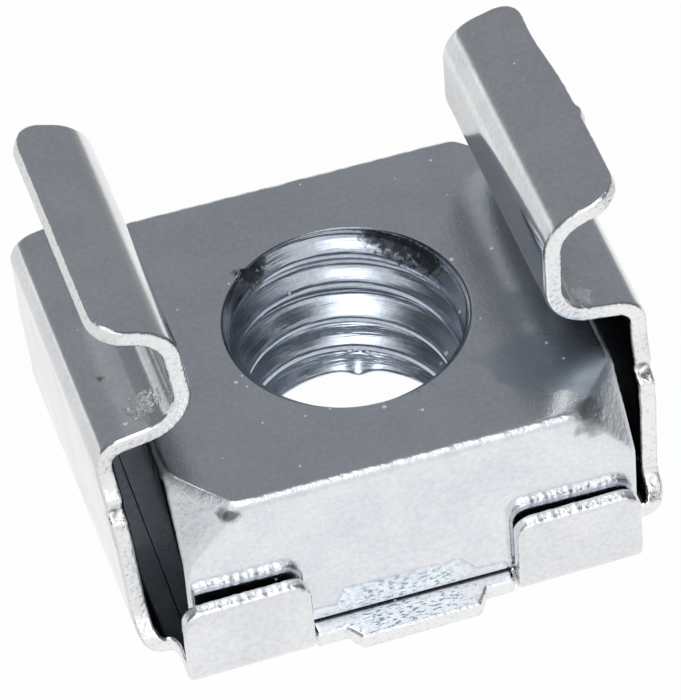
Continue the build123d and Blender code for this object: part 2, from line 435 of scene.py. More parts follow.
    def folded(self, u, v, n):
        """Places in the finished cage of points of the blank."""
        along, strap_heading = self.strap.at(np.abs(u))
        x = np.sign(u) * (along[:, 0] - n * np.sin(strap_heading))
        z = along[:, 1] + n * np.cos(strap_heading)
        wall = np.clip((np.abs(u) - self.sizes.tab_outer_edge) / self.foot_run, 0, 1)
        x += self.sizes.racking * wall * np.clip(1 - z / self.sizes.flange_underside, 0, 1)
        knots = (*self.strap.starts[NECK:], self.strap.length)
        bend = self.sizes.left_bend_shift
        sprung = np.interp(np.abs(u), knots, (0.0, 0.6 * bend, bend, self.sizes.left_lip_shift))
        x -= np.where(u < 0, sprung, 0.0)
        up, tab_heading = self.tab.at(np.abs(v))
        tab_y = np.sign(v) * (up[:, 0] - n * np.sin(tab_heading))
        tab_z = up[:, 1] + n * np.cos(tab_heading)
        leaning = np.clip((tab_z - self.sizes.sheet) / (self.sizes.tab_height - self.sizes.sheet), 0, 1)
        tab_y += np.where((u < 0) & (v < 0), self.sizes.tab_lean * leaning, 0.0)
        tab = self.on_tab(u, v)
        return np.column_stack([np.where(tab, u, x), np.where(tab, tab_y, v), np.where(tab, tab_z, z)])

    def edge_loops(self):
        """Points and outward directions along the outline, anticlockwise, and the hole, clockwise."""
        s = self.sizes
        along = self.edge.stations(s.edge_step, 2 * s.bend_step)[:-1]
        points, headings = self.edge.at(along)
        outward = np.column_stack([np.sin(headings), -np.cos(headings)])
        steps = math.ceil(2 * math.pi * s.base_hole_radius / s.edge_step)
        turn = -2 * math.pi * np.arange(steps) / steps
        towards = np.column_stack([np.cos(turn), np.sin(turn)])
        return [(points, outward), (s.base_hole_radius * towards, -towards)]

    def face_points(self):
        """Points inside the blank: rows across the strap and across the tabs' bends."""
        s = self.sizes
        along = self.strap.stations(s.face_step, s.bend_step)
        along = np.concatenate([-along[:0:-1], along])
        reach = s.tab_inner + s.sheet + s.tongue_reach
        across = np.linspace(-reach, reach, 2 * math.ceil(reach / s.face_step) + 1)
        strap = np.stack(np.meshgrid(along, across), axis=-1).reshape(-1, 2)
        beside = (np.abs(strap[:, 0]) > self.slit_edge) & (np.abs(strap[:, 1]) > self.tab_start - s.edge_step)
        up = self.tab.stations(s.face_step, s.bend_step)
        up = up[up >= self.tab_start]
        columns = math.ceil(s.tab_width / s.face_step) + 1
        over = np.linspace(s.tab_outer_edge - s.tab_width, s.tab_outer_edge, columns)
        tab = np.stack(np.meshgrid(over, up), axis=-1).reshape(-1, 2)
        corners = [tab * (side, end) for side in (1, -1) for end in (1, -1)]
        return np.concatenate([strap[~beside]] + corners)


def enclosed(points, loop):
    """True for each point that lies within a closed loop."""
    ends = np.roll(loop, -1, axis=0)
    found = np.zeros(len(points), bool)
    for (ax, ay), (bx, by) in zip(loop, ends):
        if ay != by:
            crossing = (ay > points[:, 1]) != (by > points[:, 1])
            found ^= crossing & (points[:, 0] < ax + (points[:, 1] - ay) * (bx - ax) / (by - ay))
    return found


def clear_of(points, edge, gap):
    """True for each point that is at least a gap away from every point of the edge."""
    tree = kdtree.KDTree(len(edge))
    for i, (u, v) in enumerate(edge):
        tree.insert((u, v, 0.0), i)
    tree.balance()
    return np.array([tree.find((u, v, 0.0))[2] > gap for u, v in points])


def ragged(points, size, seed):
    """A smooth wander from -1 to 1 along flat points, the same each run."""
    return np.array([noise.noise((u / size, v / size, seed)) for u, v in points])


def rim_profile():
    """Rows down a sheared edge: shares of the rounding outwards, the flat and the rounding upwards."""
    corner = [math.radians(a) for a in (0, 22.5, 45, 67.5, 90)]
    upper = [(math.sin(a), 1.0, math.cos(a)) for a in corner]
    middle = [(1.0, share_up, 0.0) for share_up in (0.6, 0.2, -0.2, -0.6)]
    return upper + middle + [(out, -flat, -up) for out, flat, up in reversed(upper)]


def flat_face(outline, hole, inner):
    """Points and triangles between the blank's outline and its hole, and where each edge point went."""
    links = []
    first = 0
    for loop in (outline, hole):
        ring = np.arange(first, first + len(loop))
        links += list(zip(ring.tolist(), np.roll(ring, -1).tolist()))
        first += len(loop)
    given = [Vector(point / MM) for point in np.concatenate([outline, hole, inner])]
    inside_only = 1
    merging = 1e-7
    points, _, triangles, sources, _, _ = delaunay_2d_cdt(given, links, [], inside_only, merging)
    points = np.array([(point.x, point.y) for point in points]) * MM
    place = {source: i for i, merged in enumerate(sources) for source in merged}
    triangles = np.array(triangles)
    in_hole = enclosed(points[triangles].mean(axis=1), hole)
    return points, triangles[~in_hole], place


def cage_mesh(sizes):
    """The folded sheet as one closed mesh, with its sheared edges and hidden faces marked."""
    blank = Blank(sizes)
    loops = [(points + outward * blank.nicks(points)[:, None], outward)
             for points, outward in blank.edge_loops()]
    roundings = [blank.roundings(points) for points, outward in loops]
    outline, hole = (points - r[:, None] * outward for (points, outward), r in zip(loops, roundings))
    inner = blank.face_points()
    inner = inner[enclosed(inner, outline) & ~enclosed(inner, hole)]
    clearance = 0.6 * sizes.edge_step
    inner = inner[clear_of(inner, np.concatenate([outline, hole]), clearance)]
    flat, triangles, place = flat_face(outline, hole, inner)

    half = sizes.sheet / 2
    total = len(flat)
    u = [flat[:, 0], flat[:, 0]]
    v = [flat[:, 1], flat[:, 1]]
    n = [np.full(total, half), np.full(total, -half)]
    marks = [np.zeros(2 * total)]
    # The hidden faces and the grooves' lower faces get painted shade
    recess_shade = [blank.hidden(flat[:, 0], flat[:, 1]), blank.grooved(flat[:, 0])]
    faces = triangles.tolist() + (triangles[:, ::-1] + total).tolist()
    used = 2 * total
    first = 0
    for (points, outward), rounding in zip(loops, roundings):
        size = len(points)
        upper = np.array([place[first + i] for i in range(size)])
        rows = [upper]
        on_top = np.abs(points[:, 1]) > blank.tab.length - sizes.tab_corner
        torn = np.where(on_top, sizes.tab_raggedness, sizes.raggedness)
        wander = torn * sum(part * ragged(points, scale, seed) for scale, seed, part in TEARS)
        for weight, flat_share, up in rim_profile()[1:-1]:
            moved = points + outward * ((weight - 1) * rounding + weight * wander)[:, None]
            u.append(moved[:, 0])
            v.append(moved[:, 1])
            n.append((half - rounding) * flat_share + rounding * up)
            marks.append(np.full(size, weight))
            recess_shade.append(np.zeros(size))
            rows.append(np.arange(used, used + size))
            used += size
        rows.append(upper + total)
        for above, below in zip(rows, rows[1:]):
            after = np.roll(above, -1)
            under = np.roll(below, -1)
            faces += np.column_stack([above, below, under, after]).tolist()
        first += size
    places = blank.folded(np.concatenate(u), np.concatenate(v), np.concatenate(n))
    mesh = bpy.data.meshes.new("folded_cage")
    mesh.from_pydata(places.tolist(), [], faces)
    mark_points(mesh, "sheared", np.concatenate(marks))
    mark_points(mesh, "recess_shade", np.concatenate(recess_shade))
    set_even_normals(mesh)
    return mesh


def ramp(values, low, span):
    """Rises from 0 at a low value to 1 a span above it."""
    return np.clip((values - low) / span, 0, 1)


def mark_points(mesh, name, values):
    """Writes one number for each point of a mesh, for its finish to read."""
    mark = mesh.attributes.new(name, "FLOAT", "POINT")
    mark.data.foreach_set("value", np.asarray(values, np.float32))


def set_even_normals(mesh):
    """Normals weighted by area, so that flat faces stay flat right up to their rounded edges."""
    mesh.polygons.foreach_set("use_smooth", np.ones(len(mesh.polygons), bool))
    mesh.calc_loop_triangles()
    places = np.empty(len(mesh.vertices) * 3)
    mesh.vertices.foreach_get("co", places)
    places = places.reshape(-1, 3)
    corners = np.empty(len(mesh.loop_triangles) * 3, np.int32)
    mesh.loop_triangles.foreach_get("vertices", corners)
    corners = corners.reshape(-1, 3)
    a, b, c = (places[corners[:, k]] for k in range(3))
    areas = np.cross(b - a, c - a)
    normals = np.zeros_like(places)
    for k in range(3):
        np.add.at(normals, corners[:, k], areas)
    normals /= np.maximum(np.linalg.norm(normals, axis=1, keepdims=True), 1e-30)
    mesh.normals_split_custom_set_from_vertices(normals.tolist())
    mesh.update()


# Tapped nut

# Fixes the wander of the upper edges, so that each run gives the same block
WANDER_SEED = 5

# Where the countersink's slope meets the rounding of its rim
RIM_START = math.radians(45)

# Burrs at the bore's upper rim: place, spread and rise in millimetres
BURRS = (
    (-1.97, 2.24, 0.12, 0.11), (0.5, -3.02, 0.09, 0.03), (0.78, -2.97, 0.12, 0.05),
    (1.15, -2.85, 0.1, 0.04), (-0.6, -3.0, 0.09, 0.025),
)


def box_reach(turn, half_x, half_y, radius):
    """Distance from the middle to the edge of a rounded rectangle, in the direction of each turn."""
    c = np.maximum(np.abs(np.cos(turn)), TINY)
    s = np.maximum(np.abs(np.sin(turn)), TINY)
    straight = np.minimum(half_x / c, half_y / s)
    corner_x = half_x - radius
    corner_y = half_y - radius
    along = corner_x * c + corner_y * s
    square = along**2 - (corner_x**2 + corner_y**2 - radius**2)
    arc = along + np.sqrt(np.maximum(square, 0))
    return np.where((arc * c > corner_x) & (arc * s > corner_y), arc, straight)


def crowded_turns(rounds, corner, crowding=7.0, spread=0.05):
    """Turns once round the block, closer together at its four corners."""
    fine = np.linspace(0, 2 * math.pi, 20001)
    density = np.ones_like(fine)
    for at in (corner, math.pi - corner, math.pi + corner, 2 * math.pi - corner):
        density += crowding * np.exp(-(((fine - at) / spread) ** 2))
    reached = np.concatenate([[0], np.cumsum((density[1:] + density[:-1]) / 2)])
    return np.interp(np.arange(rounds) / rounds, reached / reached[-1], fine)


def soft_min(a, b, blend):
    """The lower of two heights, rounded where they cross."""
    mix = np.clip(0.5 + 0.5 * (b - a) / blend, 0, 1)
    return b + (a - b) * mix - blend * mix * (1 - mix)


def nut_skin(sizes, thread, top):
    """Rows of points over the outside of the block, from the upper mouth of the bore to the lower."""
    half_x = sizes.width / 2
    half_y = sizes.depth / 2
    even = 2 * math.pi * np.arange(sizes.rounds) / sizes.rounds
    turn = crowded_turns(sizes.rounds, math.atan2(half_y, half_x))
    slope = math.tan(sizes.cone_angle)

    def ring(inset, height):
        radius = max(sizes.upright_radius - inset, 0.15 * sizes.upright_radius)
        box = box_reach(turn, half_x - inset, half_y - inset, radius)
        cone_inset = sizes.cone_rounding * inset
        cone = np.full(len(turn), sizes.cone_radius - cone_inset + (top - height) / slope)
        reach = soft_min(box, cone, sizes.cone_blend)
        return np.column_stack([reach * np.cos(turn), reach * np.sin(turn), np.full(len(turn), height)])

    def mouth(radius, height):
        return np.column_stack([radius * np.cos(even), radius * np.sin(even), np.full(len(even), height)])

    rows = []
    rim = thread.rim_radius
    for a in np.linspace(RIM_START, 0, 6):
        across = thread.mouth_radius + rim * (math.sin(RIM_START) - math.sin(a))
        rows.append(mouth(across, top - rim * (1 - math.cos(a))))
    rim_row = rows[-1]
    margin = 1.3 * MM
    for mix in np.linspace(0, 1, 14)[1:-1] ** 1.3:
        rows.append(rim_row * (1 - mix) + ring(margin, top) * mix)
    edge = sizes.edge_radius
    for inset in np.linspace(margin, edge, 10):
        rows.append(ring(inset, top))
    for a in np.radians(np.linspace(90, 0, 10))[1:]:
        rows.append(ring(edge * (1 - math.cos(a)), top - edge * (1 - math.sin(a))))
    base = sizes.base_edge_radius
    for down in np.linspace(0, 1, 26)[1:]:
        rows.append(ring(0.0, top - edge + (base - top + edge) * down))
    for a in np.radians(np.linspace(0, 90, 5))[1:]:
        rows.append(ring(base * (1 - math.cos(a)), base * (1 - math.sin(a))))
    for inset in (0.12 * MM, 0.4 * MM, 1.0 * MM):
        rows.append(ring(inset, 0.0))
    for mix in (0.35, 0.7, 0.92, 1.0):
        rows.append(rows[-1] * (1 - mix) + mouth(thread.lower_radius, 0.0) * mix)
    raise_burrs(rows)
    return rows


def raise_burrs(rows):
    """Lifts small burrs left by the tap and the countersink at the bore's upper rim."""
    for row in rows[1:10]:
        for x, y, spread, rise in BURRS:
            apart = np.hypot(row[:, 0] - x * MM, row[:, 1] - y * MM) / (spread * MM)
            row[:, 2] += rise * MM * np.exp(-(apart**2))


def nut_skin_mesh(rows):
    """The outside of the block as an open mesh between the two mouths of the bore."""
    rounds = len(rows[0])
    grid = np.arange(len(rows) * rounds).reshape(len(rows), rounds)
    ahead = np.roll(grid, -1, axis=1)
    faces = np.stack([grid[:-1], grid[1:], ahead[1:], ahead[:-1]], axis=-1).reshape(-1, 4)
    mesh = bpy.data.meshes.new("nut_skin")
    mesh.from_pydata(np.concatenate(rows).tolist(), [], faces.tolist())
    return mesh


class NodeBench:
    """Adds and links nodes in one tree."""

    def __init__(self, tree):
        self.tree = tree

    def add(self, kind, inputs=(), **settings):
        """A node with its properties set and its inputs filled, by name or by number."""
        node = self.tree.nodes.new(kind)
        for name, value in settings.items():
            setattr(node, name, value)
        for socket, value in dict(inputs).items():
            self.put(value, node.inputs[socket])
        return node

    def put(self, value, socket):
        """Links a socket, or sets a plain value."""
        if isinstance(value, bpy.types.NodeSocket):
            self.tree.links.new(value, socket)
        else:
            socket.default_value = value

    def maths(self, operation, *values):
        """A Math node's result."""
        return self.add("ShaderNodeMath", enumerate(values), operation=operation).outputs[0]

    def ranged(self, value, low, high, to_low=0.0, to_high=1.0, smooth=False):
        """A Map Range node's result, clamped."""
        kind = "SMOOTHSTEP" if smooth else "LINEAR"
        values = enumerate((value, low, high, to_low, to_high))
        return self.add("ShaderNodeMapRange", values, interpolation_type=kind).outputs[0]

    def mixed(self, factor, a, b):
        """A Mix node's number."""
        return self.add("ShaderNodeMix", {0: factor, 2: a, 3: b}, data_type="FLOAT").outputs[0]

    def blended(self, factor, a, b):
        """A Mix node's colour."""
        return self.add("ShaderNodeMix", {0: factor, 6: a, 7: b}, data_type="RGBA").outputs[2]

    def noise(self, vector, scale, detail):
        """A noise texture's grey value."""
        inputs = {"Vector": vector, "Scale": scale, "Detail": detail}
        return self.add("ShaderNodeTexNoise", inputs).outputs["Fac"]

    def parts(self, vector):
        """The three parts of a vector."""
        return self.add("ShaderNodeSeparateXYZ", {0: vector}).outputs

    def vector(self, *parts):
        """A vector made of three parts."""
        return self.add("ShaderNodeCombineXYZ", enumerate(parts)).outputs[0]


def thread_tree(material):
    """Geometry nodes that wind a thread up the bore and cut it to the two countersinks."""
    tree = bpy.data.node_groups.new("tapped_thread", "GeometryNodeTree")
    face = tree.interface
    face.new_socket("Geometry", in_out="OUTPUT", socket_type="NodeSocketGeometry")
    face.new_socket("Geometry", in_out="INPUT", socket_type="NodeSocketGeometry")
    for name in ("Turns", "Rounds", "Rows"):
        face.new_socket(name, in_out="INPUT", socket_type="NodeSocketInt")
    lengths = ("Pitch", "Minor Radius", "Height", "Crest Flat", "Mouth Radius", "Lower Radius",
               "Bell", "Bell Low", "Bell High", "Start", "Top")
    for name in lengths:
        face.new_socket(name, in_out="INPUT", socket_type="NodeSocketFloat")
    bench = NodeBench(tree)
    given = bench.add("NodeGroupInput").outputs
    steps = bench.maths("MULTIPLY", given["Turns"], given["Rounds"])
    grid = bench.add("GeometryNodeMeshGrid", {
        "Size X": 1.0, "Size Y": 1.0, "Vertices X": bench.maths("ADD", steps, 1.0),
        "Vertices Y": bench.maths("ADD", given["Rows"], 1.0)})
    place = bench.parts(bench.add("GeometryNodeInputPosition").outputs[0])
    turn = bench.maths("MULTIPLY", bench.maths("ADD", place[0], 0.5), given["Turns"])
    phase = bench.maths("ADD", place[1], 0.5)
    height = bench.maths("MULTIPLY_ADD", bench.maths("ADD", turn, phase), given["Pitch"], given["Start"])
    level = bench.maths("MINIMUM", bench.maths("MAXIMUM", height, 0.0), given["Top"])

    off_crest = bench.maths("ABSOLUTE", bench.maths("SUBTRACT", phase, 0.5))
    off_crest = bench.maths("MULTIPLY", off_crest, given["Pitch"])
    flank_start = bench.maths("MULTIPLY", given["Crest Flat"], 0.5)
    flank_end = bench.maths("MULTIPLY_ADD", given["Pitch"], 0.5, bench.maths("MULTIPLY", flank_start, -1.0))
    depth = bench.ranged(off_crest, flank_start, flank_end, smooth=True)
    bell = bench.ranged(level, given["Bell Low"], given["Bell High"], smooth=True)
    crest = bench.maths("MULTIPLY_ADD", bell, given["Bell"], given["Minor Radius"])
    root = bench.maths("ADD", given["Minor Radius"], given["Height"])
    cut = bench.mixed(depth, crest, root)
    upper = bench.maths("ADD", bench.maths("SUBTRACT", given["Mouth Radius"], given["Top"]), level)
    lower = bench.maths("SUBTRACT", given["Lower Radius"], level)
    radius = bench.maths("MAXIMUM", bench.maths("MAXIMUM", cut, upper), lower)
    above = bench.maths("GREATER_THAN", height, bench.maths("SUBTRACT", given["Top"], TINY))
    below = bench.maths("LESS_THAN", height, TINY)
    radius = bench.mixed(above, radius, given["Mouth Radius"])
    radius = bench.mixed(below, radius, given["Lower Radius"])

    round_turn = bench.maths("MULTIPLY", turn, 2 * math.pi)
    moved = bench.vector(
        bench.maths("MULTIPLY", radius, bench.maths("COSINE", round_turn)),
        bench.maths("MULTIPLY", radius, bench.maths("SINE", round_turn)), level)
    wall = grid.outputs["Mesh"]
    finishing = (
        ("GeometryNodeSetPosition", {"Position": moved}),
        ("GeometryNodeMergeByDistance", {"Distance": 0.001 * MM}),
        ("GeometryNodeSetShadeSmooth", {}),
        ("GeometryNodeRealizeInstances", {}),
        ("GeometryNodeSetMaterial", {"Material": material}),
        ("NodeGroupOutput", {}),
    )
    for kind, inputs in finishing:
        step = bench.add(kind, {"Geometry": wall, **inputs})
        wall = step.outputs[0] if step.outputs else None
    return tree


def thread_mesh(thread, rounds, top, material):
    """The wall of the tapped hole as a plain mesh."""
    tree = thread_tree(material)
    holder = bpy.data.objects.new("thread_holder", bpy.data.meshes.new("thread_holder"))
    bpy.context.scene.collection.objects.link(holder)
    modifier = holder.modifiers.new("thread", "NODES")
    modifier.node_group = tree
    values = {size.name: getattr(thread, size.identifier) for size in thread.bl_rna.properties}
    values.update({"Rounds": rounds, "Top": top})
    for item in tree.interface.items_tree:
        if item.in_out == "INPUT" and item.name in values:
            modifier[item.identifier] = values[item.name]
    holder.update_tag()
    graph = bpy.context.evaluated_depsgraph_get()
    mesh = bpy.data.meshes.new_from_object(holder.evaluated_get(graph))
    bpy.data.objects.remove(holder)
    return mesh


def roughen_edges(rows, sizes, top):
    """Lets the block's upper edges wander a little, as rolled and cut steel does."""
    broad = 0.26 * MM
    fine = 0.4 * broad
    edge_share = 0.93
    edge_fade = 0.05
    noise.seed_set(WANDER_SEED)
    for row in rows:
        near = np.clip(1 - (top - row[:, 2]) / (4 * sizes.edge_radius), 0, 1)
        reach = np.maximum(np.abs(row[:, 0]) / (sizes.width / 2), np.abs(row[:, 1]) / (sizes.depth / 2))
        weight = near * ramp(reach, edge_share, edge_fade)
        for i in np.nonzero(weight > 0.01)[0]:
            place = Vector(row[i])
            shift = noise.noise_vector(place / broad) + 0.5 * noise.noise_vector(place / fine)
            row[i] += weight[i] * sizes.wander * np.array(shift)


def swell_thread_end(verts, thread):
    """Swells the lowest crest inwards where the tap broke through."""
    for vert in verts:
        reach = vert.co.xy.length
        low = 1 - vert.co.z / thread.swelling_height
        if low > 0 and reach < thread.minor_radius + thread.height:
            off = (math.atan2(vert.co.y, vert.co.x) - thread.swelling_turn) / thread.swelling_spread
            inwards = thread.swelling * min(1.0, 2 * low) * math.exp(-(off**2))
            vert.co.xy *= 1 - inwards / reach


def nut_mesh(sizes, thread, skin_material, thread_material):
    """The block and its thread, joined at the two mouths of the bore and laid in the cage."""
    base = NUT_BOX[0].z
    top = NUT_BOX[1].z - base
    rows = nut_skin(sizes, thread, top)
    roughen_edges(rows, sizes, top)
    skin = nut_skin_mesh(rows)
    skin.materials.append(skin_material)
    rim_drop = thread.rim_radius * (1 - math.cos(RIM_START))
    bore = thread_mesh(thread, sizes.rounds, top - rim_drop, thread_material)
    joined = bmesh.new()
    joined.from_mesh(skin)
    first = len(joined.faces)
    joined.from_mesh(bore)
    joined.faces.ensure_lookup_table()
    for face in joined.faces:
        face.material_index = 0 if face.index < first else 1
        face.smooth = True
    bmesh.ops.remove_doubles(joined, verts=joined.verts, dist=0.002 * MM)
    bmesh.ops.dissolve_degenerate(joined, edges=joined.edges, dist=0.0005 * MM)
    bmesh.ops.recalc_face_normals(joined, faces=joined.faces)
    swell_thread_end(joined.verts, thread)
    place = Matrix.Translation((NUT_AXIS.x, NUT_AXIS.y, base)) @ Matrix.Rotation(sizes.turn, 4, "Z")
    joined.transform(place)
    mesh = bpy.data.meshes.new("tapped_nut")
    joined.to_mesh(mesh)
    open_edges = sum(not edge.is_manifold for edge in joined.edges)
    joined.free()
    if open_edges:
        raise RuntimeError(f"The nut has {open_edges} open edges")
    mesh.materials.append(skin_material)
    mesh.materials.append(thread_material)
    mark_nut(mesh, sizes.turn)
    return mesh


def mark_nut(mesh, turn):
    """Marks the satin top, the worn edges, the painted shadow along the foot with the painted shade on the
    bore's rim, and the sides hidden in the cage for painted shade.
    """
    normals = np.empty(len(mesh.vertices) * 3)
    mesh.vertex_normals.foreach_get("vector", normals)
    normals = normals.reshape(-1, 3)
    sideways = np.abs(normals @ (math.cos(turn), math.sin(turn), 0.0))
    up = normals[:, 2]
    places = np.empty(len(mesh.vertices) * 3)
    mesh.vertices.foreach_get("co", places)
    places = places.reshape(-1, 3)
    bore_reach = 4 * MM
    past_bore = np.hypot(places[:, 0] - NUT_AXIS.x, places[:, 1] - NUT_AXIS.y) > bore_reach
    tilted = ramp(up, 0.1, 0.15) * ramp(-up, -0.97, 0.1)
    # A painted shadow along the nut's foot, and painted shade on the bore's rounded rim
    foot_line = 0.05 * MM
    foot_fade = 0.035 * MM
    rim_shade = 0.93
    low = np.clip(1 - (places[:, 2] - NUT_BOX[0].z - foot_line) / foot_fade, 0, 1)
    mark_points(mesh, "satin", ramp(up, 0.86, 0.1))
    mark_points(mesh, "worn", past_bore * tilted)
    mark_points(mesh, "painted_foot_and_rim_shade", np.where(past_bore, low, rim_shade * tilted))
    # Painted shade on the sides that face the cage's walls
    mark_points(mesh, "recess_shade", ramp(sideways, 0.9, 0.08))


# Finishes

def group_tree(name, inputs, outputs):
    """An empty shader node group with its sockets, and a bench to fill it on."""
    tree = bpy.data.node_groups.new(name, "ShaderNodeTree")
    for label, default in inputs.items():
        kind = "NodeSocketVector" if default is None else "NodeSocketFloat"
        socket = tree.interface.new_socket(label, in_out="INPUT", socket_type=kind)
        if default is not None:
            socket.default_value = default
    for label in outputs:
        tree.interface.new_socket(label, in_out="OUTPUT", socket_type="NodeSocketFloat")
    bench = NodeBench(tree)
    return tree, bench, bench.add("NodeGroupInput").outputs, bench.add("NodeGroupOutput").inputs


def plating_group():
    """Mottled zinc plate: broad cloudy patches, spangle, fine grain and small bright specks."""
    tree, bench, given, result = group_tree(
        "zinc_plating",
        {"Vector": None, "Grain": 16000.0, "Cloud": 700.0, "Spangle": 7500.0, "Speck": 5000.0},
        ("Clouds", "Spangle", "Grain", "Specks"))
    clouds = bench.noise(given["Vector"], given["Cloud"], 4.0)
    bench.put(bench.ranged(clouds, 0.35, 0.7, smooth=True), result["Clouds"])
    spangle = bench.noise(given["Vector"], given["Spangle"], 3.0)
    bench.put(bench.ranged(spangle, 0.28, 0.72), result["Spangle"])
    bench.put(bench.noise(given["Vector"], given["Grain"], 2.0), result["Grain"])
    cells = bench.add("ShaderNodeTexVoronoi", {"Vector": given["Vector"], "Scale": given["Speck"]})
    chance = bench.add("ShaderNodeSeparateColor", {0: cells.outputs["Color"]}).outputs
    rare = bench.maths("GREATER_THAN", chance[0], 0.94)
    size = bench.maths("MULTIPLY", chance[1], 0.3)
    near = bench.maths("LESS_THAN", cells.outputs["Distance"], size)
    bench.put(bench.maths("MULTIPLY", rare, near), result["Specks"])
    return tree


def scratch_group():
    """Fine scratches along one direction, broken up so that they start and stop."""
    tree, bench, given, result = group_tree(
        "fine_scratches",
        {"Vector": None, "Along": 500.0, "Across": 14000.0, "Turn": 0.0, "From": 0.66},
        ("Scratches",))
    turned = {"Vector": given["Vector"], "Angle": given["Turn"]}
    part = bench.parts(bench.add("ShaderNodeVectorRotate", turned, rotation_type="Z_AXIS").outputs[0])
    scales = (given["Along"], given["Across"], given["Along"])
    drawn = bench.vector(*(bench.maths("MULTIPLY", p, scale) for p, scale in zip(part, scales)))
    full = bench.maths("ADD", given["From"], 0.1)
    bench.put(bench.ranged(bench.noise(drawn, 1.0, 1.0), given["From"], full), result["Scratches"])
    return tree


def stain_and_shade_group():
    """A small ragged patch round one place, for stains and for painted shade."""
    tree, bench, given, result = group_tree(
        "ragged_stain_and_shade", {"Vector": None, "Place": None, "Radius": 0.2 * MM, "Grain": 4500.0}, ("Mask",))
    apart = bench.add("ShaderNodeVectorMath", {0: given["Vector"], 1: given["Place"]}, operation="DISTANCE")
    rim = bench.ranged(bench.noise(given["Vector"], given["Grain"], 3.0), 0.3, 0.7, 0.5, 1.4)
    part = bench.maths("DIVIDE", apart.outputs["Value"], bench.maths("MULTIPLY", rim, given["Radius"]))
    bench.put(bench.ranged(part, 0.45, 1.05, 1.0, 0.0, smooth=True), result["Mask"])
    return tree


GROUP_MAKERS = {"zinc_plating": plating_group, "fine_scratches": scratch_group, "ragged_stain_and_shade": stain_and_shade_group}


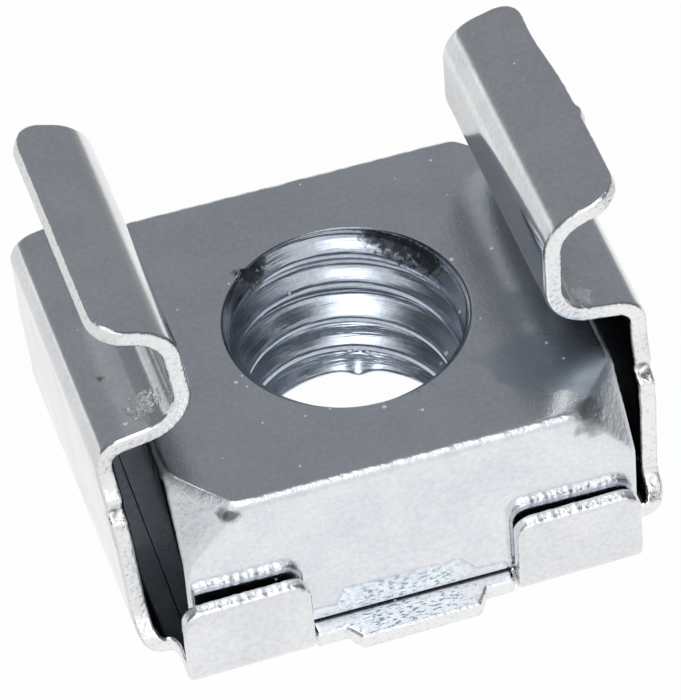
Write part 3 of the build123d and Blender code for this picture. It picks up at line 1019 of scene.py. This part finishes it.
class ZincPlate:
    """One zinc finish, built up in layers of colour, roughness, metal and height in micrometres."""

    CLOUD_SHARE = 0.35
    CLOUD_HEIGHT = 1.5
    SCRATCH_TURN = 1.1
    SCRATCH_HEIGHT = -0.25
    SCRATCH_ROUGHNESS = 0.04
    SPECK_HEIGHT = 0.8
    SPECK_METAL = -0.7
    SATIN_HEIGHT = 2.4
    WORN_HEIGHT = 8.0
    TORN_HEIGHT = 30.0
    TURNED_HEIGHT = 8.0
    STAIN_AND_SHADE_ROUGHNESS = 0.45

    def __init__(self, name, bright, dull, gloss, dust):
        self.material = bpy.data.materials.new(name)
        self.material.use_nodes = True
        bench = NodeBench(self.material.node_tree)
        self.bench = bench
        self.where = bench.add("ShaderNodeTexCoord").outputs["Object"]
        self.plating = self.group("zinc_plating")
        clouds = self.plating["Clouds"]
        specks = self.plating["Specks"]
        scratches = self.group("fine_scratches", {"Turn": self.SCRATCH_TURN})["Scratches"]
        tone = bench.mixed(self.CLOUD_SHARE, self.plating["Spangle"], clouds)
        self.paint = bench.blended(tone, (*dull, 1.0), (*bright, 1.0))
        self.rough = bench.ranged(clouds, 0.0, 1.0, 1.15 * gloss, 0.9 * gloss)
        self.rough = bench.maths("MULTIPLY_ADD", scratches, self.SCRATCH_ROUGHNESS, self.rough)
        self.height = self.plating["Grain"]
        self.lift(clouds, self.CLOUD_HEIGHT)
        self.lift(scratches, self.SCRATCH_HEIGHT)
        self.lift(specks, self.SPECK_HEIGHT)
        self.metal = bench.maths("MULTIPLY_ADD", specks, self.SPECK_METAL, 1.0)
        self.tint(specks, dust)

    def group(self, name, inputs=()):
        """The outputs of a shared shader group, which is made when it is first needed."""
        tree = bpy.data.node_groups.get(name) or GROUP_MAKERS[name]()
        filled = {"Vector": self.where, **dict(inputs)}
        return self.bench.add("ShaderNodeGroup", filled, node_tree=tree).outputs

    def marked(self, attribute):
        """A mark that the mesh carries at its points."""
        return self.bench.add("ShaderNodeAttribute", attribute_name=attribute).outputs["Fac"]

    def tint(self, mask, tone):
        """Colours what a mask covers."""
        self.paint = self.bench.blended(mask, self.paint, (*tone, 1.0))

    def dull(self, mask, roughness):
        """Roughens what a mask covers."""
        self.rough = self.bench.mixed(mask, self.rough, roughness)

    def lift(self, pattern, height):
        """Adds a pattern to the height."""
        self.height = self.bench.maths("MULTIPLY_ADD", pattern, height, self.height)

    def satin(self, roughness):
        """The rolled top of the nut."""
        top = self.marked("satin")
        self.dull(top, roughness)
        self.lift(self.bench.maths("MULTIPLY", top, self.plating["Grain"]), self.SATIN_HEIGHT)

    def worn(self, roughness):
        """The nut's worn upper edges."""
        edge = self.marked("worn")
        self.dull(edge, roughness)
        self.lift(self.bench.maths("MULTIPLY", edge, self.plating["Spangle"]), self.WORN_HEIGHT)

    def recess_shade(self, tone):
        """Painted shade on faces that nut and cage hide from each other and inside the lugs' grooves."""
        uneven = self.bench.ranged(self.plating["Spangle"], 0.3, 1.0, 1.0, 0.8)
        self.tint(self.bench.maths("MULTIPLY", self.marked("recess_shade"), uneven), tone)

    def painted_foot_and_rim_shade(self, tone):
        """Painted shadow along the nut's foot and painted shade in the rim of its bore."""
        self.tint(self.marked("painted_foot_and_rim_shade"), tone)

    def sheared(self, tone, pitted, roughness):
        """Torn and pitted edges where the sheet was cut."""
        bench = self.bench
        edge = bench.ranged(self.marked("sheared"), 0.55, 1.0)
        torn = bench.noise(self.where, 9000.0, 3.0)
        pits = bench.maths("MULTIPLY", bench.ranged(torn, 0.54, 0.68), 0.3)
        self.paint = bench.blended(edge, self.paint, bench.blended(pits, (*tone, 1.0), (*pitted, 1.0)))
        self.dull(edge, roughness)
        self.lift(bench.maths("MULTIPLY", edge, torn), self.TORN_HEIGHT)

    def streaks(self, place, radius, tone):
        """Dark streaks rubbed round one place, given in millimetres, on the sheet's faces only."""
        bench = self.bench
        rubbed = self.group("ragged_stain_and_shade", {"Place": Vector(place) * MM, "Radius": radius * MM})["Mask"]
        lines = self.group("fine_scratches", {"Along": 8000.0, "Across": 22000.0, "From": 0.52})["Scratches"]
        on_face = bench.ranged(self.marked("sheared"), 0.1, 0.4, 0.9, 0.0)
        self.tint(bench.maths("MULTIPLY", bench.maths("MULTIPLY", rubbed, lines), on_face), tone)

    def turned(self):
        """Fine tool marks round the bore, along the thread."""
        bench = self.bench
        axis = (NUT_AXIS.x, NUT_AXIS.y, 0.0)
        part = bench.parts(
            bench.add("ShaderNodeVectorMath", {0: self.where, 1: axis}, operation="SUBTRACT").outputs[0])
        squares = [bench.maths("POWER", part[i], 2.0) for i in (0, 1)]
        reach = bench.maths("SQRT", bench.maths("ADD", *squares))
        turn = bench.maths("ARCTAN2", part[1], part[0])
        steps = ((turn, 1.6), (part[2], 16000.0), (reach, 16000.0))
        drawn = bench.vector(*(bench.maths("MULTIPLY", value, scale) for value, scale in steps))
        self.lift(bench.noise(drawn, 1.0, 2.0), self.TURNED_HEIGHT)

    def stain_and_shade(self, place, radius, tone, strength, grain, crushed=0.0):
        """A ragged patch round one place, given in millimetres, for stains and painted shade, or a crushed
        patch that sparkles.
        """
        spot = {"Place": Vector(place) * MM, "Radius": radius * MM, "Grain": grain}
        mask = self.bench.maths("MULTIPLY", self.group("ragged_stain_and_shade", spot)["Mask"], strength)
        self.tint(mask, tone)
        if crushed:
            self.lift(self.bench.maths("MULTIPLY", mask, self.plating["Spangle"]), crushed)
        else:
            self.dull(mask, self.STAIN_AND_SHADE_ROUGHNESS)

    def finished(self):
        """Joins the layers to the shader and gives the material."""
        ripple = {"Strength": 1.0, "Distance": 0.001 * MM, "Height": self.height}
        normal = self.bench.add("ShaderNodeBump", ripple).outputs[0]
        shader = self.material.node_tree.nodes["Principled BSDF"]
        layers = {"Base Color": self.paint, "Roughness": self.rough, "Metallic": self.metal, "Normal": normal}
        for name, value in layers.items():
            self.bench.put(value, shader.inputs[name])
        return self.material


def cage_finish(finish):
    """Zinc on the cage: painted shade inside and in the grooves, torn at the edges, rubbed on the front
    tongue, painted shade at the wall nicks, a spot of rust and crushed patches.
    """
    plate = ZincPlate("cage_zinc_plate", finish.cage_zinc, finish.cage_dull, finish.cage_gloss, finish.dust)
    # Painted shade on the hidden faces and inside the grooves
    plate.recess_shade(finish.recess_shade)
    plate.sheared(finish.sheared, finish.pitted, finish.edge_gloss)
    plate.streaks((-0.2, -6.05, 0.45), 2.0, finish.streak)
    # Painted shade in the nicks of the two walls
    plate.stain_and_shade((-6.43, -4.0, 4.1), 0.2, finish.painted_dark, 0.85, 4500.0)
    plate.stain_and_shade((6.52, -4.0, 4.05), 0.22, finish.painted_dark, 0.85, 4500.0)
    plate.stain_and_shade((-5.95, -1.62, 6.2), 0.16, finish.rust, 0.8, 4500.0)
    plate.stain_and_shade((-5.25, -2.9, 6.3), 0.45, finish.scuff, 0.9, 6000.0, crushed=45.0)
    plate.stain_and_shade((5.3, -3.2, 6.35), 0.38, finish.scuff, 0.9, 6000.0, crushed=45.0)
    return plate.finished()


def nut_finish(finish):
    """Zinc on the block: satin top, worn edges, painted shadow at the foot, painted shade on the rim and
    hidden sides, painted dark reflections at the front corners and painted shade beside the right lug.
    """
    plate = ZincPlate("nut_zinc_plate", finish.nut_zinc, finish.nut_dull, finish.nut_gloss, finish.dust)
    plate.satin(finish.top_gloss)
    plate.worn(finish.worn_gloss)
    # Painted shade on the sides that face the cage's walls
    plate.recess_shade(finish.recess_shade)
    # Painted shadow along the foot and painted shade on the bore's rim
    plate.painted_foot_and_rim_shade(finish.painted_dark)
    # Dark marks painted at the two front corners, standing in for a dark reflection under their cut tops
    plate.stain_and_shade((-4.7, -5.35, 4.86), 0.26, finish.painted_dark, 0.6, 3000.0)
    plate.stain_and_shade((-4.4, -5.48, 4.82), 0.3, finish.painted_dark, 0.7, 3000.0)
    plate.stain_and_shade((-4.1, -5.55, 4.76), 0.28, finish.painted_dark, 0.75, 3000.0)
    plate.stain_and_shade((4.65, -5.5, 4.82), 0.6, finish.painted_dark, 0.62, 2500.0)
    # Painted shade on the nut's top beside the right lug
    plate.stain_and_shade((4.3, -3.7, 5.05), 1.5, finish.lug_shade, 0.45, 900.0)
    plate.stain_and_shade((4.5, -1.7, 5.05), 0.9, finish.lug_shade, 0.35, 900.0)
    plate.stain_and_shade((4.8, -4.4, 5.05), 1.0, finish.lug_shade, 0.5, 900.0)
    return plate.finished()


def thread_finish(finish):
    """Thinner zinc in the thread, with tool marks and painted shade in the grooves where the thread runs out.
    """
    plate = ZincPlate(
        "tapped_thread_plate", finish.thread_zinc, finish.thread_dull, finish.thread_gloss, finish.dust)
    plate.turned()
    # Painted shade where the thread runs out into the countersink
    ends = (
        ((-1.45, 1.75, 4.8), 0.48, 0.9), ((-1.15, 2.0, 4.85), 0.36, 0.85), ((1.85, 1.95, 4.75), 0.5, 0.85),
        ((2.2, 1.68, 4.7), 0.6, 0.9), ((2.55, 1.3, 4.7), 0.62, 0.95), ((2.85, 0.85, 4.65), 0.6, 0.95),
    )
    for place, radius, strength in ends:
        plate.stain_and_shade(place, radius, finish.painted_dark, strength, 8000.0)
    return plate.finished()


# Studio

# Where the floor shades off in the metal, to the left and to the right
FLOOR_LEFT_SPAN = (-9 * MM, -5.8 * MM)
FLOOR_RIGHT_SPAN = (12 * MM, 40 * MM)

# Where the lights round the part fade, in degrees, and how the skyline dips
BACK_WALL_SPAN = (88, 118)
FRONT_SIDE_SPAN = (45, 75)
FRONT_TOP_SPAN = (50, 64)
SKYLINE_SPAN = (9, 15)
SKYLINE_DROP = 0.26
SKYLINE_BEND = 0.045
LAMP_FRONT_SPAN = (30, 45)
LAMP_TOP_SPAN = (80, 95)
LAMP_SIDE_SPAN = (2, 26)


def floor_material(studio):
    """A pale floor that reads as white, takes the part's shadow and shades off in the metal at both sides."""
    material = bpy.data.materials.new("studio_floor")
    material.use_nodes = True
    tree = material.node_tree
    tree.nodes.clear()
    bench = NodeBench(tree)
    path = bench.add("ShaderNodeLightPath").outputs
    seen = bench.maths("MAXIMUM", path["Is Camera Ray"], path["Is Glossy Ray"])
    seen = bench.maths("MAXIMUM", seen, path["Is Transmission Ray"])
    matt = bench.add("ShaderNodeBsdfDiffuse", {"Color": (*studio.floor, 1.0)})
    across = bench.parts(bench.add("ShaderNodeTexCoord").outputs["Object"])[0]
    left = bench.ranged(across, *FLOOR_LEFT_SPAN, studio.floor_left, 1.0, smooth=True)
    right = bench.ranged(across, *FLOOR_RIGHT_SPAN, 1.0, studio.floor_right, smooth=True)
    shown = bench.mixed(path["Is Camera Ray"], bench.maths("MULTIPLY", left, right), 1.0)
    glow = bench.add("ShaderNodeEmission", {"Color": WHITE, "Strength": shown})
    mix = bench.add("ShaderNodeMixShader", {
        0: bench.maths("MULTIPLY", seen, studio.floor_glow), 1: matt.outputs[0], 2: glow.outputs[0]})
    bench.add("ShaderNodeOutputMaterial", {"Surface": mix.outputs[0]})
    return material


def studio_world(studio):
    """White horizon, grey wall behind, dark walls beside, broad light in front and a narrow one overhead."""
    world = bpy.data.worlds.new("studio_light")
    world.use_nodes = True
    bench = NodeBench(world.node_tree)
    towards = bench.add("ShaderNodeTexCoord").outputs["Generated"]

    def along(axis):
        part = bench.add("ShaderNodeVectorMath", {0: towards, 1: axis}, operation="DOT_PRODUCT")
        return part.outputs["Value"]

    def fade(value, span, rising=True):
        ends = (0.0, 1.0) if rising else (1.0, 0.0)
        return bench.ranged(value, *(math.radians(end) for end in span), *ends, smooth=True)

    def grey(level):
        return (level, level, level, 1.0)

    level = along((math.cos(studio.azimuth), math.sin(studio.azimuth), 0.0))
    ahead = along((math.sin(studio.azimuth), -math.cos(studio.azimuth), 0.0))
    up = along((0.0, 0.0, 1.0))
    sideways = bench.maths("ABSOLUTE", bench.maths("ARCSINE", level))
    rise = bench.maths("ARCSINE", up)
    off_front = bench.maths("ARCTAN2", bench.maths("ABSOLUTE", level), ahead)
    lift = bench.maths("ARCTAN2", up, ahead)
    light = bench.blended(fade(off_front, BACK_WALL_SPAN), (*studio.side_wall, 1.0), (*studio.back_wall, 1.0))
    front = bench.maths(
        "MULTIPLY", fade(off_front, FRONT_SIDE_SPAN, rising=False), fade(rise, FRONT_TOP_SPAN, rising=False))
    light = bench.blended(front, light, grey(studio.front_fill))
    lowered = bench.maths("MULTIPLY_ADD", bench.maths("MAXIMUM", level, 0.0), SKYLINE_DROP, rise)
    skyline = fade(bench.maths("MULTIPLY_ADD", off_front, SKYLINE_BEND, lowered), SKYLINE_SPAN)
    light = bench.blended(skyline, WHITE, light)
    lamp = bench.maths("MULTIPLY", fade(lift, LAMP_FRONT_SPAN), fade(lift, LAMP_TOP_SPAN, rising=False))
    lamp = bench.maths("MULTIPLY", lamp, fade(sideways, LAMP_SIDE_SPAN, rising=False))
    light = bench.blended(lamp, light, grey(studio.lamp))
    bench.put(light, world.node_tree.nodes["Background"].inputs["Color"])
    return world


def camera_axes(studio):
    """The camera's right, up and backward directions."""
    back = Vector((
        math.sin(studio.azimuth) * math.cos(studio.elevation),
        -math.cos(studio.azimuth) * math.cos(studio.elevation),
        math.sin(studio.elevation)))
    level = Vector((math.cos(studio.azimuth), math.sin(studio.azimuth), 0.0))
    tall = back.cross(level)
    right = math.cos(studio.roll) * level + math.sin(studio.roll) * tall
    up = math.cos(studio.roll) * tall - math.sin(studio.roll) * level
    return right, up, back


def add_camera(studio):
    """A camera at the photograph's place and angle."""
    right, up, back = camera_axes(studio)
    eye = Vector(studio.target) + studio.slide[0] * right + studio.slide[1] * up + studio.distance * back
    camera = bpy.data.objects.new("camera", bpy.data.cameras.new("camera"))
    camera.data.lens = studio.lens
    camera.data.clip_start = MM
    camera.data.clip_end = 100.0
    camera.matrix_world = Matrix.Translation(eye) @ Matrix((right, up, back)).transposed().to_4x4()
    bpy.context.scene.collection.objects.link(camera)
    bpy.context.scene.camera = camera


def add_floor(studio):
    """A wide pale floor just under the part."""
    half = studio.floor_size / 2
    level = -studio.floor_gap
    corners = [(-half, -half, level), (half, -half, level), (half, half, level), (-half, half, level)]
    mesh = bpy.data.meshes.new("floor")
    mesh.from_pydata(corners, [], [(0, 1, 2, 3)])
    mesh.materials.append(floor_material(studio))
    floor = bpy.data.objects.new("floor", mesh)
    bpy.context.scene.collection.objects.link(floor)


# Operators, panel and registration

def place_piece(name, mesh, node):
    """Puts a finished mesh in the scene in place of its CAD node."""
    piece = bpy.data.objects.new(name, mesh)
    bpy.context.scene.collection.objects.link(piece)
    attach(piece, "root")
    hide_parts(node)


class CAGENUT_OT_fold_cage(bpy.types.Operator):
    """Folds the cage from its flat blank and gives it its zinc finish"""
    bl_idname = "cage_nut.fold_cage"
    bl_label = "Fold Cage"

    def execute(self, context):
        settings = context.scene.cage_nut
        mesh = cage_mesh(settings.cage)
        mesh.materials.append(cage_finish(settings.finish))
        place_piece("folded_cage", mesh, "cage")
        return {"FINISHED"}


class CAGENUT_OT_tap_nut(bpy.types.Operator):
    """Makes the block, winds its thread and lays it in the cage"""
    bl_idname = "cage_nut.tap_nut"
    bl_label = "Tap Nut"

    def execute(self, context):
        settings = context.scene.cage_nut
        skin = nut_finish(settings.finish)
        thread = thread_finish(settings.finish)
        mesh = nut_mesh(settings.nut, settings.thread, skin, thread)
        place_piece("tapped_nut", mesh, "nut")
        return {"FINISHED"}


class CAGENUT_OT_set_stage(bpy.types.Operator):
    """Lays the floor, sets the light and stands the camera"""
    bl_idname = "cage_nut.set_stage"
    bl_label = "Set Stage"

    def execute(self, context):
        studio = context.scene.cage_nut.studio
        context.scene.view_settings.view_transform = "Standard"
        context.scene.world = studio_world(studio)
        add_floor(studio)
        add_camera(studio)
        return {"FINISHED"}


class CAGENUT_PT_sidebar(bpy.types.Panel):
    """Lists the steps that make the cage nut"""
    bl_idname = "CAGENUT_PT_sidebar"
    bl_label = "Cage Nut"
    bl_space_type = "VIEW_3D"
    bl_region_type = "UI"
    bl_category = "Cage Nut"

    def draw(self, context):
        for operator in OPERATORS:
            self.layout.operator(operator.bl_idname)


OPERATORS = (CAGENUT_OT_fold_cage, CAGENUT_OT_tap_nut, CAGENUT_OT_set_stage)
CLASSES = (
    CageSizes, NutSizes, ThreadSizes, Finishes, Studio, CageNutSettings, *OPERATORS, CAGENUT_PT_sidebar)


def register():
    """Registers the settings, the operators and the panel."""
    for kind in CLASSES:
        bpy.utils.register_class(kind)
    bpy.types.Scene.cage_nut = PointerProperty(type=CageNutSettings)


def unregister():
    """Takes them out again."""
    del bpy.types.Scene.cage_nut
    for kind in reversed(CLASSES):
        bpy.utils.unregister_class(kind)


def main():
    """Makes the pieces and the stage."""
    register()
    bpy.ops.cage_nut.fold_cage()
    bpy.ops.cage_nut.tap_nut()
    bpy.ops.cage_nut.set_stage()


if __name__ == "__main__":
    main()
